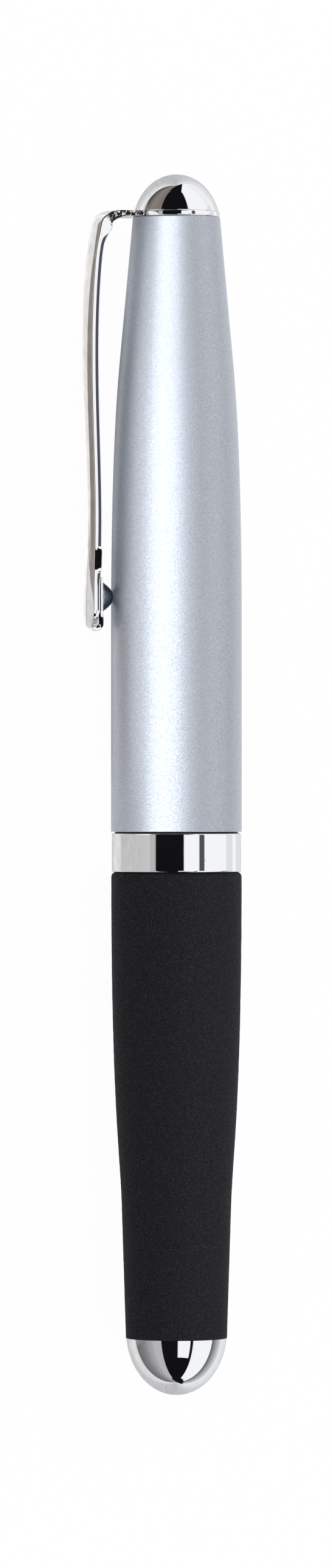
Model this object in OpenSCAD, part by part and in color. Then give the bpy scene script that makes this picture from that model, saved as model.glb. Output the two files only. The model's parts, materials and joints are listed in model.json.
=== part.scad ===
// Pocket pen: a short capped ballpoint. A drawn metal cap with a stamped spring clip and a domed
// finial closes over a screw-in front section, and a soft sleeve covers the metal barrel tube.
// Each piece is drawn upright on the pen's own axis, with z = 0 at the cap's lip and the writing
// tip pointing up into the cap. laid() then puts the pen down as it rests on a table: axis along
// +X, cap end towards +X, lying on the cap's straight run and on one edge of the clip.

/* [Cap] */
// Length of the cap shell, from lip to flat top
cap_len = 52.8; // [50.5:0.1:58]
// Outside diameter of the cap's straight run
cap_d = 11.26; // [11:0.02:12]
// Outside diameter of the cap's flat top
cap_top_d = 7.5; // [7.3:0.05:8.5]
// Height of the straight run above the lip
cap_straight = 17; // [15:0.5:18]
// Height where the line of the taper meets the line of the straight run
cap_shoulder = 32.2; // [30:0.1:34]
// Height above which the taper is a true cone
cap_cone_start = 40; // [37:0.5:44]
// Wall of the drawn shell
cap_wall = 0.55; // [0.4:0.05:0.6]
// Thickness of the shell's flat top
cap_top_wall = 0.8; // [0.6:0.05:1.2]

/* [Cap liner] */
// Wall of the liner's press-fitted skirt
liner_skirt = 0.6; // [0.5:0.05:0.7]
// Height of that skirt
liner_seat = 14; // [10:0.5:15]
// Wall of the tapered part above the skirt
liner_wall = 0.5; // [0.4:0.05:0.6]
// Gap between the cap and that tapered part
liner_relief = 0.2; // [0.1:0.05:0.3]
// Thickness of the liner's closed end, which the nut clamps
liner_end = 1; // [0.6:0.1:1.5]

/* [Finial] */
// Set-back of the dome's base from the clip's ring
finial_inset = 0.1; // [0.05:0.01:0.3]
// Height of the dome
finial_h = 3.25; // [2.5:0.05:4]
// Axial half-axis of the dome's ellipse
finial_axis = 4.45; // [4.1:0.05:6]
// Diameter of the threaded stud under the dome
stud_d = 3; // [2.6:0.1:3.4]
// Height of the hexagon nut that holds the stud
nut_h = 2.3; // [1.8:0.1:2.5]
// Size of the nut across its flats
nut_af = 4.6; // [4.2:0.1:4.8]

/* [Clip] */
// Thickness of the clip's sheet metal
clip_t = 0.45; // [0.35:0.05:0.5]
// Set-back of the ring under the finial from the cap's top edge
ring_inset = 0.03; // [0.01:0.01:0.1]
// Length of the clip, from the ring's top face to the folded tip
clip_len = 36; // [33:0.5:38]
// Radius from the pen's axis at which the neck starts to bend
clip_neck_r = 5.6; // [5.2:0.1:5.8]
// Radius of the bend, on the sheet's middle
clip_bend = 1.2; // [1:0.05:1.4]
// Angle of the bend
clip_bend_angle = 81; // [78:1:84]
// Length of the arm's upper handle, which sets how far it bows out
clip_bow = 8.5; // [7:0.5:9.5]
// Height of the arm's narrow waist above the tip
clip_waist_h = 9.3; // [8.5:0.1:10.5]
// Gap between the cap and the arm at the waist
clip_gap = 1.4; // [1.2:0.05:1.6]
// Width of the neck
clip_neck_w = 4.5; // [4:0.1:5]
// Width of the waist
clip_waist_w = 3; // [2.6:0.1:3.4]
// Width of the paddle at the clip's end
clip_pad_w = 4.2; // [3.8:0.1:4.6]
// Crown of the sheet across the bend, which stiffens the corner
clip_bend_crown = 0.45; // [0.3:0.05:0.6]
// Depth of the flanges that turn in from the sheet's edges at the bend
clip_flange = 0.5; // [0.3:0.05:0.6]
// Crown of the sheet across the arm
clip_arm_crown = 0.34; // [0.2:0.02:0.45]
// Straight run of the paddle above the fold
clip_pad_run = 1.9; // [1.6:0.1:2.2]
// Length of the soft run from the waist into the paddle
clip_pad_ease = 2.5; // [2:0.1:2.6]
// Free gap inside the folded hem
hem_gap = 0.2; // [0.15:0.05:0.3]
// Width of the sheet at the fold
fold_w = 2.2; // [1.8:0.1:2.6]
// Length of sheet over which the paddle and the tongue round in to the fold
fold_round = 1.7; // [1.4:0.1:1.9]
// Length of the tongue folded back behind the paddle
tongue_len = 4.6; // [4.2:0.1:4.8]
// Width of the tongue
tongue_w = 3; // [2.6:0.1:3.2]
// Height of the pressed dimple that bears on the cap
dimple_h = 0.95; // [0.8:0.05:1.1]
// Diameter of the dimple at its root
dimple_d = 2.9; // [2.4:0.1:2.9]
// Diameter of the dimple's blunt end
dimple_end_d = 0.9; // [0.6:0.1:1.2]
// Height of the dimple's centre above the tip
dimple_up = 2.75; // [2.6:0.05:2.9]

/* [Centre band] */
// Set-back of the band's face from the cap's
band_inset = 0.07; // [0.03:0.01:0.2]
// Length of the band
band_len = 3.35; // [2.5:0.05:5]
// Rounding of the band's edges
band_round = 0.16; // [0.08:0.02:0.25]
// Gap between the cap's lip and the band
lip_gap = 0.12; // [0.08:0.02:0.2]

/* [Barrel and grip sleeve] */
// Length of the grip sleeve
sleeve_len = 40.05; // [38:0.05:46]
// Set-back of the sleeve's full part from the cap's face
sleeve_inset = 0.02; // [0:0.01:0.1]
// Diameter of the sleeve at its waist
sleeve_waist_d = 9.42; // [9:0.02:10]
// Diameter of the sleeve at the tail
sleeve_end_d = 8.7; // [8.6:0.02:9]
// Distance from the sleeve's top down to the waist
sleeve_waist = 28.6; // [26:0.1:31]
// Length of the full part of the sleeve, before it draws in
sleeve_full = 19.4; // [17:0.2:21]
// Length of the soft run into the waist
sleeve_run_in = 4.6; // [3:0.2:6]
// Rounding of the sleeve's top edge
sleeve_round = 0.4; // [0.2:0.05:0.6]
// Outside diameter of the barrel tube
tube_d = 7.4; // [7.2:0.05:7.6]
// Wall of the barrel tube
tube_wall = 0.6; // [0.5:0.05:0.65]

/* [Tail] */
// Set-back of the tail dome's base from the sleeve's end
tail_inset = 0.03; // [0:0.01:0.1]
// Height of the tail dome
tail_h = 4.9; // [4:0.05:6]
// Axial half-axis of the dome's ellipse
tail_axis = 5.5; // [5.3:0.05:7]
// Length of the plug pressed into the tube
plug_len = 5; // [4:0.25:6]
// Diameter of the pip that centres the spring
pip_d = 1.9; // [1.6:0.05:2]
// Length of that pip
pip_len = 2; // [1:0.25:3]

/* [Front section] */
// Height of the straight part of the section
section_straight = 14; // [12:0.5:16]
// Height where the lines of the section's straight part and of its taper meet
section_belly = 23; // [21:0.5:25]
// Height where the section meets the nose cone
section_len = 32.5; // [31:0.5:33]
// Reach of the section's flange under the liner, which stops the cap
flange_lip = 0.3; // [0.2:0.05:0.45]
// Height of the flange
flange_h = 0.32; // [0.25:0.01:0.5]
// Length of the spigot below the gasket
spigot_len = 5; // [4.5:0.25:6]
// Thickness of the gasket under the flange
gasket_t = 0.4; // [0.3:0.05:0.5]
// Set-back of the gasket from the section's side
gasket_inset = 0.1; // [0.05:0.05:0.5]
// Height of the friction ring's groove above the lip
ring_up = 5; // [3:0.25:8]
// Thickness of the friction ring
ring_t = 0.9; // [0.7:0.05:1]
// Diameter of the nose cone where it meets the section
nose_d = 5; // [4.9:0.05:5.2]
// Length of the nose cone
nose_len = 5.7; // [5:0.1:6]
// Diameter of the nose cone's blunt end
nose_end_d = 3; // [2.9:0.05:3.2]
// Length of the spigot inside the nose cone
nose_spigot = 2.4; // [2:0.1:2.6]
// Wall of that spigot
nose_spigot_wall = 0.3; // [0.25:0.05:0.35]
// Height over which the nose cone keeps close to its base diameter
nose_belly = 3.6; // [3.2:0.1:4]

/* [Thread bush] */
// Wall of the bush around the section's spigot
bush_wall = 0.58; // [0.45:0.01:0.65]
// Reach of the bush's flange over the tube's end, which holds the band
bush_rim = 0.8; // [0.5:0.05:1]
// Height of that flange
bush_flange_h = 0.8; // [0.6:0.05:1]
// Length of the bush inside the tube
bush_len = 7; // [6.5:0.25:9]

/* [Refill] */
// Diameter of the refill tube
refill_d = 3.2; // [3:0.05:3.3]
// Wall of the refill tube
refill_wall = 0.3; // [0.25:0.05:0.4]
// Length of the refill, tip to tail
refill_len = 70; // [66:0.5:72]
// Length of the stopper in the refill's tail
stopper_len = 1.5; // [1:0.1:3]
// Diameter of the writing ball
ball_d = 1; // [0.9:0.05:1.1]
// Part of the ball that stands out of its socket
ball_out = 0.22; // [0.18:0.02:0.26]
// Diameter of the tip's shank
tip_d = 2.3; // [2.1:0.05:2.4]
// Wall of the socket's rim
rim_wall = 0.12; // [0.1:0.01:0.15]
// Length of the tip's cone
tip_cone = 1.6; // [1.3:0.1:1.8]
// Shank that shows in front of the nose cone
tip_out = 0.6; // [0.3:0.05:0.9]
// Wire of the spring behind the refill
spring_wire = 0.36; // [0.3:0.02:0.4]
// Outside diameter of the spring
spring_d = 3; // [2.9:0.05:3.2]
// Number of turns in the spring
spring_turns = 7; // [6:1:8]

/* [Fits] */
// Radial slip of pieces that are pressed or glued together
fit = 0.02; // [0.01:0.01:0.04]
// Radial clearance of screwed and sliding pieces
run = 0.05; // [0.03:0.01:0.08]
// Radial play between the front section and the liner's bore
cap_play = 0.15; // [0.1:0.01:0.2]
// Gap where the dimple meets the cap
touch = 0.05; // [0.03:0.01:0.1]

/* [Hidden] */
$fn = 96;

// Steps along a curved outline
steps = 24;
arc_steps = 6;

// Heights along the pen's axis, from the parting line at the lip
band_top = -lip_gap;
band_bottom = band_top - band_len;
sleeve_top = band_bottom;
sleeve_bottom = sleeve_top - sleeve_len;
tube_top = band_top - bush_flange_h;
gasket_top = band_top + gasket_t;
flange_top = gasket_top + flange_h;
nose_base = gasket_top + section_len;
nose_end = nose_base + nose_len;
cone_base = nose_end + tip_out;
rim = cone_base + tip_cone;
tip_end = rim + ball_out;
refill_tail = tip_end - refill_len;
plug_top = sleeve_bottom + plug_len;
cap_inside_top = cap_len - cap_top_wall;
nut_top = cap_inside_top - liner_end;
nut_bottom = nut_top - nut_h;
plate_mid = cap_len + clip_t / 2;
clip_tip = cap_len + clip_t - clip_len;
waist_z = clip_tip + clip_waist_h;
dimple_z = clip_tip + dimple_up;

// Radii shared by pieces that fit one another
cap_r = cap_d / 2;
liner_r = cap_r - cap_wall - fit;
liner_bore = liner_r - liner_skirt;
section_r = liner_bore - cap_play;
clip_ring_r = cap_top_d / 2 - ring_inset;
finial_r = clip_ring_r - finial_inset;
band_r = cap_r - band_inset;
sleeve_r = cap_r - sleeve_inset;
tail_r = sleeve_end_d / 2 - tail_inset;
tube_r = tube_d / 2;
tube_in = tube_r - tube_wall;
bush_bore = tube_in - fit - bush_wall;
bush_flange_r = tube_r + bush_rim;
spigot_r = bush_bore - run;
refill_r = refill_d / 2;
refill_bore = refill_r + 3 * run;
refill_in = refill_r - refill_wall;
nose_socket = refill_bore + nose_spigot_wall + fit;
nose_bore = tip_d / 2 + run;
nose_spigot_end = nose_base + nose_spigot;
ring_out = liner_bore - run / 2;
ring_mid = ring_out - ring_t / 2;
groove_floor = ring_out - ring_t - fit;
ball_r = ball_d / 2;
ball_z = tip_end - ball_r;
socket_r = ball_r + fit;
rim_in = sqrt(pow(socket_r, 2) - pow(rim - ball_z, 2));

// Points on curves
function between(a, b, t) = a + (b - a) * t;
function ease(t) = t * t * (3 - 2 * t);
function backwards(list) = [for (i = [len(list) - 1 : -1 : 0]) list[i]];
function bezier2(a, b, c, t) = pow(1 - t, 2) * a + 2 * t * (1 - t) * b + t * t * c;
function bezier3(a, b, c, d, t) =
    pow(1 - t, 3) * a + 3 * pow(1 - t, 2) * t * b + 3 * (1 - t) * t * t * c + pow(t, 3) * d;
// Quarter-round corner of radius r about a centre, from angle a to angle b
function corner(centre, r, a, b) =
    [for (i = [0 : arc_steps]) let (q = between(a, b, i / arc_steps)) centre + r * [cos(q), sin(q)]];
// Dome outline from its base ring to its apex: part of an ellipse centred below the base
function dome(base_r, height, axis) =
    let (end = acos(1 - height / axis), wide = base_r / sin(end))
    [for (i = [0 : steps]) let (q = end * (1 - i / steps))
        [wide * sin(q), height - axis * (1 - cos(q))]];

// Outside radius of the cap at a height: straight, then a parabola, then a cone to the flat top
cone_slope = (cap_top_d / 2 - cap_r) / (cap_len - cap_shoulder);
function cone_r(z) = cap_r + cone_slope * (z - cap_shoulder);
function blend_t(z) =
    let (a = cap_straight - 2 * cap_shoulder + cap_cone_start, b = cap_shoulder - cap_straight)
    (sqrt(b * b + a * (z - cap_straight)) - b) / a;
function cap_outside(z) =
    z <= cap_straight ? cap_r :
    z >= cap_cone_start ? cone_r(z) :
    bezier2(cap_r, cap_r, cone_r(cap_cone_start), blend_t(z));
// Heights at which the cap's curved stretch has points
cap_heights = [for (i = [0 : steps]) between(cap_straight, cap_cone_start, i / steps)];
// Outside radius of the liner above its skirt, which follows the cap at an even gap
function liner_outside(z) = cap_outside(z) - cap_wall - liner_relief;

// Outside outline of the grip sleeve, from its rounded top edge down to the tail
sleeve_waist_z = sleeve_top - sleeve_waist;
sleeve_slope = (sleeve_waist_d - sleeve_end_d) / 2 / (sleeve_waist_z - sleeve_bottom);
function sleeve_outline() =
    let (r = sleeve_r, w = sleeve_waist_d / 2, top = sleeve_top - sleeve_round)
    concat(
        corner([r - sleeve_round, top], sleeve_round, 90, 0),
        [for (i = [1 : steps]) bezier3([r, top], [r, top - sleeve_full],
            [w + sleeve_slope * sleeve_run_in, sleeve_waist_z + sleeve_run_in],
            [w, sleeve_waist_z], i / steps)],
        [[sleeve_end_d / 2, sleeve_bottom]]);

// Path of the clip's sheet in the plane through the pen's axis, as [radius, height]
hem_r = (clip_t + hem_gap) / 2;
tongue_r = cap_outside(dimple_z) + touch + dimple_h + clip_t / 2;
pad_r = tongue_r + 2 * hem_r;
waist_r = cap_outside(waist_z) + clip_gap + clip_t / 2;
hem_z = clip_tip + clip_t / 2 + hem_r;
pad_top_z = hem_z + clip_pad_run;
bend_centre = [clip_neck_r, plate_mid - clip_bend];
bend_steps = 10;
arm_steps = 22;
pad_steps = 10;
end_steps = 6;
hem_steps = 10;
tongue_steps = 8;
function bend_point(q) = bend_centre + clip_bend * [sin(q), cos(q)];
bend_path = [for (i = [0 : bend_steps]) bend_point(clip_bend_angle * i / bend_steps)];
arm_start = bend_point(clip_bend_angle);
arm_path = [for (i = [1 : arm_steps])
    bezier3(arm_start, arm_start + clip_bow * [cos(clip_bend_angle), -sin(clip_bend_angle)],
        [waist_r, waist_z + clip_bow], [waist_r, waist_z], i / arm_steps)];
pad_path = [for (i = [1 : pad_steps])
    bezier3([waist_r, waist_z], [waist_r, waist_z - clip_pad_ease],
        [pad_r, pad_top_z + clip_pad_ease], [pad_r, pad_top_z], i / pad_steps)];
end_path = [for (i = [1 : end_steps]) [pad_r, between(pad_top_z, hem_z, i / end_steps)]];
hem_path = [for (i = [1 : hem_steps]) let (q = 180 * i / hem_steps)
    [pad_r - hem_r + hem_r * cos(q), hem_z - hem_r * sin(q)]];
tongue_path = [for (i = [1 : tongue_steps])
    [tongue_r, between(hem_z, clip_tip + tongue_len, i / tongue_steps)]];
clip_path = concat(bend_path, arm_path, pad_path, end_path, hem_path, tongue_path);

// Share of the bend and of the arm over which the sheet changes its crown
bend_ramp = 0.6;
arm_ramp = 0.12;
function ramp(t, share) = ease(min(1, t / share));
// Half width of a sheet at a distance along it from the fold, where its end rounds in as an ellipse
half_fold = PI * hem_r / 2;
function rounded_in(width, from_fold) =
    let (t = 1 - min(1, from_fold / fold_round))
    between(fold_w, width, sqrt(1 - t * t)) / 2;
// Half width, crown and edge flange of the sheet at each point of that path
clip_shape = concat(
    [for (i = [0 : bend_steps]) let (t = i / bend_steps)
        [clip_neck_w / 2, clip_bend_crown * ramp(t, bend_ramp), clip_flange * ease(1 - abs(2 * t - 1))]],
    [for (i = [1 : arm_steps]) let (t = i / arm_steps)
        [between(clip_neck_w, clip_waist_w, ease(t)) / 2,
         between(clip_bend_crown, clip_arm_crown, ramp(t, arm_ramp)), 0]],
    [for (i = [1 : pad_steps]) let (t = i / pad_steps)
        [between(clip_waist_w, clip_pad_w, ease(t)) / 2, clip_arm_crown * (1 - ease(t)), 0]],
    [for (p = end_path) [rounded_in(clip_pad_w, p[1] - hem_z + half_fold), 0, 0]],
    [for (i = [1 : hem_steps]) let (t = i / hem_steps)
        [rounded_in(between(clip_pad_w, tongue_w, t), half_fold * abs(2 * t - 1)), 0, 0]],
    [for (p = tongue_path) [rounded_in(tongue_w, p[1] - hem_z + half_fold), 0, 0]]);

// Roll of the pen at which the paddle's edge and the cap's straight run lie on one plane
pad_edge_r = pad_r + clip_t / 2;
rest_roll = asin(cap_r / norm([pad_edge_r, clip_pad_w / 2])) - atan2(clip_pad_w / 2, pad_edge_r);

// Lays an upright piece down as the pen rests on a table
module laid() {
    rotate([-rest_roll, 0, 0]) rotate([0, 90, 0]) children();
}

// Ring between two heights
module ring(outer, inner, low, high) {
    translate([0, 0, low]) difference() {
        cylinder(r = outer, h = high - low);
        translate([0, 0, -1]) cylinder(r = inner, h = high - low + 2);
    }
}

// Sheet swept along a path in the plane x = 0, crowned across its width and flanged at its edges.
// path holds [radius, height], shape holds [half width, crown, flange] for each of its points.
module swept_sheet(path, shape, thick) {
    across = 8;
    flange_from = 0.75;
    last = len(path) - 1;
    row = across + 1;
    tangents = [for (i = [0 : last])
        let (d = path[min(last, i + 1)] - path[max(0, i - 1)]) d / norm(d)];
    function place(i, j, side) =
        let (a = 2 * j / across - 1, out = [-tangents[i][1], tangents[i][0]],
             flange = side > 0 ? 0 : max(0, abs(a) - flange_from) / (1 - flange_from),
             p = path[i] + out * (side * thick / 2 - shape[i][1] * a * a - shape[i][2] * flange))
        [a * shape[i][0], p[0], p[1]];
    points = [for (i = [0 : last]) each concat(
        [for (j = [0 : across]) place(i, j, 1)], [for (j = [across : -1 : 0]) place(i, j, -1)])];
    loop = 2 * row;
    function at(i, k) = i * loop + (k % loop);
    sides = [for (i = [0 : last - 1], k = [0 : loop - 1])
        each [[at(i, k), at(i + 1, k), at(i + 1, k + 1)],
              [at(i, k), at(i + 1, k + 1), at(i, k + 1)]]];
    start = [for (k = [0 : across - 1]) let (b = loop - 1 - k)
        each [[at(0, k), at(0, k + 1), at(0, b - 1)], [at(0, k), at(0, b - 1), at(0, b)]]];
    finish = [for (k = [0 : across - 1]) let (b = loop - 1 - k)
        each [[at(last, k), at(last, b - 1), at(last, k + 1)],
              [at(last, k), at(last, b), at(last, b - 1)]]];
    polyhedron(points, concat(sides, start, finish));
}

// Round wire wound into an open helix, as one unbroken tube
module helix(mean_r, wire_r, low, high, turns) {
    rings_per_turn = 12;
    ring_sides = 6;
    last = rings_per_turn * turns;
    function place(i, k) =
        let (q = 360 * i / rings_per_turn, s = 360 * k / ring_sides, r = mean_r + wire_r * cos(s))
        [r * cos(q), r * sin(q), between(low, high, i / last) + wire_r * sin(s)];
    function at(i, k) = i * ring_sides + (k % ring_sides);
    points = [for (i = [0 : last], k = [0 : ring_sides - 1]) place(i, k)];
    sides = [for (i = [0 : last - 1], k = [0 : ring_sides - 1])
        each [[at(i, k), at(i + 1, k), at(i + 1, k + 1)],
              [at(i, k), at(i + 1, k + 1), at(i, k + 1)]]];
    start = [for (k = [1 : ring_sides - 2]) [at(0, 0), at(0, k), at(0, k + 1)]];
    finish = [for (k = [1 : ring_sides - 2]) [at(last, 0), at(last, k + 1), at(last, k)]];
    polyhedron(points, concat(sides, start, finish));
}

// Drawn and painted cap shell with a flat, pierced top
module cap_tube() {
    hole = stud_d / 2 + run;
    outside = [for (z = concat([0], cap_heights, [cap_len])) [cap_outside(z), z]];
    inside = [for (z = concat([0], cap_heights, [cap_inside_top])) [cap_outside(z) - cap_wall, z]];
    color("silver") laid() rotate_extrude() polygon(concat(
        outside, [[hole, cap_len], [hole, cap_inside_top]], backwards(inside)));
}

// Moulded liner pressed into the cap: its skirt grips the front section, its tapered part covers
// the writing tip, and the nut clamps its closed end under the cap's top
module cap_liner() {
    low = flange_top + fit;
    hole = stud_d / 2 + run;
    outside = [for (z = concat(cap_heights, [cap_inside_top])) [liner_outside(z), z]];
    inside = [for (z = concat(cap_heights, [nut_top])) [liner_outside(z) - liner_wall, z]];
    color("dimgray") laid() rotate_extrude() polygon(concat(
        [[liner_bore, low], [liner_r, low], [liner_r, low + liner_seat],
         [liner_outside(0), low + liner_seat + liner_relief]],
        outside, [[hole, cap_inside_top], [hole, nut_top]], backwards(inside),
        [[liner_bore, cap_straight]]));
}

// Plated dome that closes the cap, with the stud that clamps the clip
module finial() {
    base = cap_len + clip_t;
    color("gainsboro") laid() union() {
        translate([0, 0, base]) rotate_extrude()
            polygon(concat([[0, 0]], dome(finial_r, finial_h, finial_axis)));
        translate([0, 0, nut_bottom]) cylinder(d = stud_d, h = base - nut_bottom);
    }
}

// Hexagon nut on the finial's stud, tight under the liner's closed end
module finial_nut() {
    color("goldenrod") laid() translate([0, 0, nut_bottom]) difference() {
        cylinder(d = nut_af / cos(30), h = nut_h, $fn = 6);
        translate([0, 0, -1]) cylinder(d = stud_d + 2 * fit, h = nut_h + 2);
    }
}

// Pierced ring and neck of the stamped clip
module clip_ring() {
    color("lightgray") laid() translate([0, 0, cap_len]) difference() {
        union() {
            cylinder(r = clip_ring_r, h = clip_t);
            translate([-clip_neck_w / 2, 0, 0]) cube([clip_neck_w, clip_neck_r, clip_t]);
        }
        translate([0, 0, -1]) cylinder(d = stud_d + 2 * run, h = clip_t + 2);
    }
}

// Spring arm of the clip: bend, bowed arm, paddle, folded hem and the dimple that bears on the cap
module clip_arm() {
    root = tongue_r;
    low = cap_outside(dimple_z) + touch;
    color("lightgray") laid() union() {
        swept_sheet(clip_path, clip_shape, clip_t);
        translate([0, root, dimple_z]) rotate([90, 0, 0]) rotate_extrude($fn = 40)
            polygon(concat([[0, 0]],
                [for (i = [0 : arc_steps]) let (q = 90 * i / arc_steps)
                    [between(dimple_end_d, dimple_d, cos(q)) / 2, (root - low) * sin(q)]],
                [[0, root - low]]));
    }
}

// Rubber ring in the section's groove, which holds the cap by friction
module cap_friction_ring() {
    color("black") laid() translate([0, 0, ring_up]) rotate_extrude()
        translate([ring_mid, 0]) circle(d = ring_t, $fn = 48);
}

// Front section: flange, ring groove, tapering grip and the spigots for the bush and the nose cone
module front_section() {
    r = section_r;
    flange_r = liner_bore + flange_lip;
    groove = ring_t / 2 + run;
    low = band_top - spigot_len;
    taper = [for (i = [0 : steps]) bezier2([r, section_straight], [r, section_belly],
        [nose_d / 2, nose_base], i / steps)];
    color("dimgray") laid() rotate_extrude() polygon(concat(
        [[refill_bore, low], [spigot_r, low], [spigot_r, gasket_top],
         [flange_r, gasket_top], [flange_r, flange_top], [r, flange_top],
         [r, ring_up - groove], [groove_floor, ring_up - groove], [groove_floor, ring_up + groove],
         [r, ring_up + groove]],
        taper,
        [[nose_socket - fit, nose_base], [nose_socket - fit, nose_spigot_end],
         [refill_bore, nose_spigot_end]]));
}

// Plated nose cone on the section's front spigot, which guides the refill's tip
module nose_cone() {
    shoulder = nose_spigot_end + 2 * run;
    end_round = (nose_end_d / 2 - nose_bore) / 2;
    nose_side = atan((nose_d - nose_end_d) / 2 / (nose_len - nose_belly));
    side = [for (i = [0 : arc_steps])
        bezier2([nose_d / 2, nose_base], [nose_d / 2, nose_base + nose_belly],
            [nose_end_d / 2, nose_end - end_round], i / arc_steps)];
    color("gainsboro") laid() rotate_extrude() polygon(concat(
        [[nose_socket, nose_base]], side,
        corner([nose_end_d / 2 - end_round, nose_end - end_round], end_round, nose_side, 90),
        [[nose_bore, nose_end], [nose_bore, shoulder + refill_r - tip_d / 2],
         [refill_bore, shoulder], [nose_socket, shoulder]]));
}

// Flat rubber gasket between the section's flange and the bush
module section_gasket() {
    color("black") laid() ring(section_r - gasket_inset, spigot_r + run, band_top, gasket_top);
}

// Plated band around the barrel's mouth
module centre_band() {
    r = band_r;
    bore = tube_r + fit;
    seat = bush_flange_r + fit;
    color("gainsboro") laid() rotate_extrude() polygon(concat(
        [[bore, band_bottom]],
        corner([r - band_round, band_bottom + band_round], band_round, -90, 0),
        corner([r - band_round, band_top - band_round], band_round, 0, 90),
        [[seat, band_top], [seat, tube_top], [bore, tube_top]]));
}

// Brass bush pressed into the tube: its flange holds the band and its bore takes the section
module thread_bush() {
    color("goldenrod") laid() rotate_extrude() polygon([
        [bush_bore, band_top], [bush_flange_r, band_top], [bush_flange_r, tube_top],
        [tube_in - fit, tube_top], [tube_in - fit, tube_top - bush_len],
        [bush_bore, tube_top - bush_len]]);
}

// Metal tube inside the grip sleeve
module barrel_tube() {
    color("darkgray") laid() ring(tube_r, tube_in, sleeve_bottom, tube_top);
}

// Soft sleeve, thick at the band and waisted towards the tail
module grip_sleeve() {
    bore = tube_r + fit;
    color("#1c1c1e") laid() rotate_extrude() polygon(concat(
        [[bore, sleeve_top]], sleeve_outline(), [[bore, sleeve_bottom]]));
}

// Plated tail dome with the plug that fills the tube's end and the pip that centres the spring
module tail_dome() {
    color("gainsboro") laid() translate([0, 0, sleeve_bottom]) union() {
        mirror([0, 0, 1]) rotate_extrude()
            polygon(concat([[0, 0]], dome(tail_r, tail_h, tail_axis)));
        cylinder(r = tube_in - fit, h = plug_len);
        cylinder(d = pip_d, h = plug_len + pip_len);
    }
}

// Coil spring that presses the refill towards the nose cone
module refill_spring() {
    wire_r = spring_wire / 2;
    color("lightsteelblue") laid() helix(spring_d / 2 - wire_r, wire_r, plug_top + wire_r,
        refill_tail - wire_r, spring_turns);
}

// Metal ink tube of the refill, shouldered at its front
module refill_tube() {
    front = nose_spigot_end;
    neck = front + refill_r - tip_d / 2;
    color("burlywood") laid() rotate_extrude() polygon([
        [refill_in, refill_tail], [refill_r, refill_tail], [refill_r, front],
        [tip_d / 2 + fit, neck], [tip_d / 2 + fit, front - refill_wall],
        [refill_in, front - refill_wall]]);
}

// Turned point of the refill: shank, cone and the socket that holds the ball
module refill_tip() {
    low = nose_spigot_end - refill_wall;
    feed_r = ball_r / 2;
    color("tan") laid() difference() {
        rotate_extrude() polygon([[0, low], [tip_d / 2, low], [tip_d / 2, cone_base],
            [rim_in + rim_wall, rim], [0, rim]]);
        translate([0, 0, ball_z]) sphere(r = socket_r);
        translate([0, 0, low - 1]) cylinder(r = feed_r, h = ball_z - low + 1);
    }
}

// Stopper in the refill's tail
module refill_plug() {
    color("whitesmoke") laid() translate([0, 0, refill_tail])
        cylinder(r = refill_in - fit, h = stopper_len);
}

// Hard ball that rolls in the tip's socket
module writing_ball() {
    color("dimgray") laid() translate([0, 0, ball_z]) sphere(d = ball_d);
}

cap_tube();
cap_liner();
finial();
finial_nut();
clip_ring();
clip_arm();
cap_friction_ring();
front_section();
nose_cone();
section_gasket();
centre_band();
thread_bush();
barrel_tube();
grip_sleeve();
tail_dome();
refill_spring();
refill_tube();
refill_tip();
refill_plug();
writing_ball();
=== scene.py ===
import json
import math

import bpy
import numpy as np
from mathutils import Matrix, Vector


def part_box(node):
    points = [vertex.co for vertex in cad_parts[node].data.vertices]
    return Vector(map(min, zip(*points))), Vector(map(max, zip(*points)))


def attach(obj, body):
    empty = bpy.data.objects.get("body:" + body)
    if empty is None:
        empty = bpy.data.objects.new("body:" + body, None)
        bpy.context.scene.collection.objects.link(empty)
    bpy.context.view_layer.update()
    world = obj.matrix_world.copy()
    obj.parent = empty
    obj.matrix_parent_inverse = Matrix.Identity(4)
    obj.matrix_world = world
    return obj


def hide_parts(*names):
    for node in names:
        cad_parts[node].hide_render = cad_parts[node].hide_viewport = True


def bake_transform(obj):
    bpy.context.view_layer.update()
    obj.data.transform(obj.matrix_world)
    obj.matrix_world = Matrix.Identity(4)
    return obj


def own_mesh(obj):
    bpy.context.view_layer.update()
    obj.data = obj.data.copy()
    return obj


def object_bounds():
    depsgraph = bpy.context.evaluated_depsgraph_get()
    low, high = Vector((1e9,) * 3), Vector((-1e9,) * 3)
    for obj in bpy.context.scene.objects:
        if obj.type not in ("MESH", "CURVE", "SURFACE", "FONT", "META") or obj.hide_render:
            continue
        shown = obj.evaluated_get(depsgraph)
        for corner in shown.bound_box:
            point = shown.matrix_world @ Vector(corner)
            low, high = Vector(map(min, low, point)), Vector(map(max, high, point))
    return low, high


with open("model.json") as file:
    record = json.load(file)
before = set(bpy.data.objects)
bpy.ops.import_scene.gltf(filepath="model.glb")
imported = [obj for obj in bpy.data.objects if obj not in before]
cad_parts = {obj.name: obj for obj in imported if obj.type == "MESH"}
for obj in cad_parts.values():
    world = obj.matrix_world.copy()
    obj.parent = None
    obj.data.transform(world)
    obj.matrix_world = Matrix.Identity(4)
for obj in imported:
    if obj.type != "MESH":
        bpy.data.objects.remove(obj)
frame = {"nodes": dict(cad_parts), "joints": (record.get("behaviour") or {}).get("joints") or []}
cad_box = [list(corner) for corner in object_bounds()]

# Barrel tube: a drawn aluminium tube that carries the bush, the band, the sleeve and the tail. It shows
# only at its mouth once the front section is out. Drawing leaves fine streaks along it.
mm = 0.001


def wire(tree, kind, inputs, **settings):
    """One shader node: settings are its own properties, and each input takes a value or a socket."""
    made = tree.nodes.new("ShaderNode" + kind)
    for name, value in settings.items():
        setattr(made, name, value)
    for socket, value in inputs.items():
        if isinstance(value, bpy.types.NodeSocket):
            tree.links.new(value, made.inputs[socket])
        else:
            made.inputs[socket].default_value = value
    return made


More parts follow.
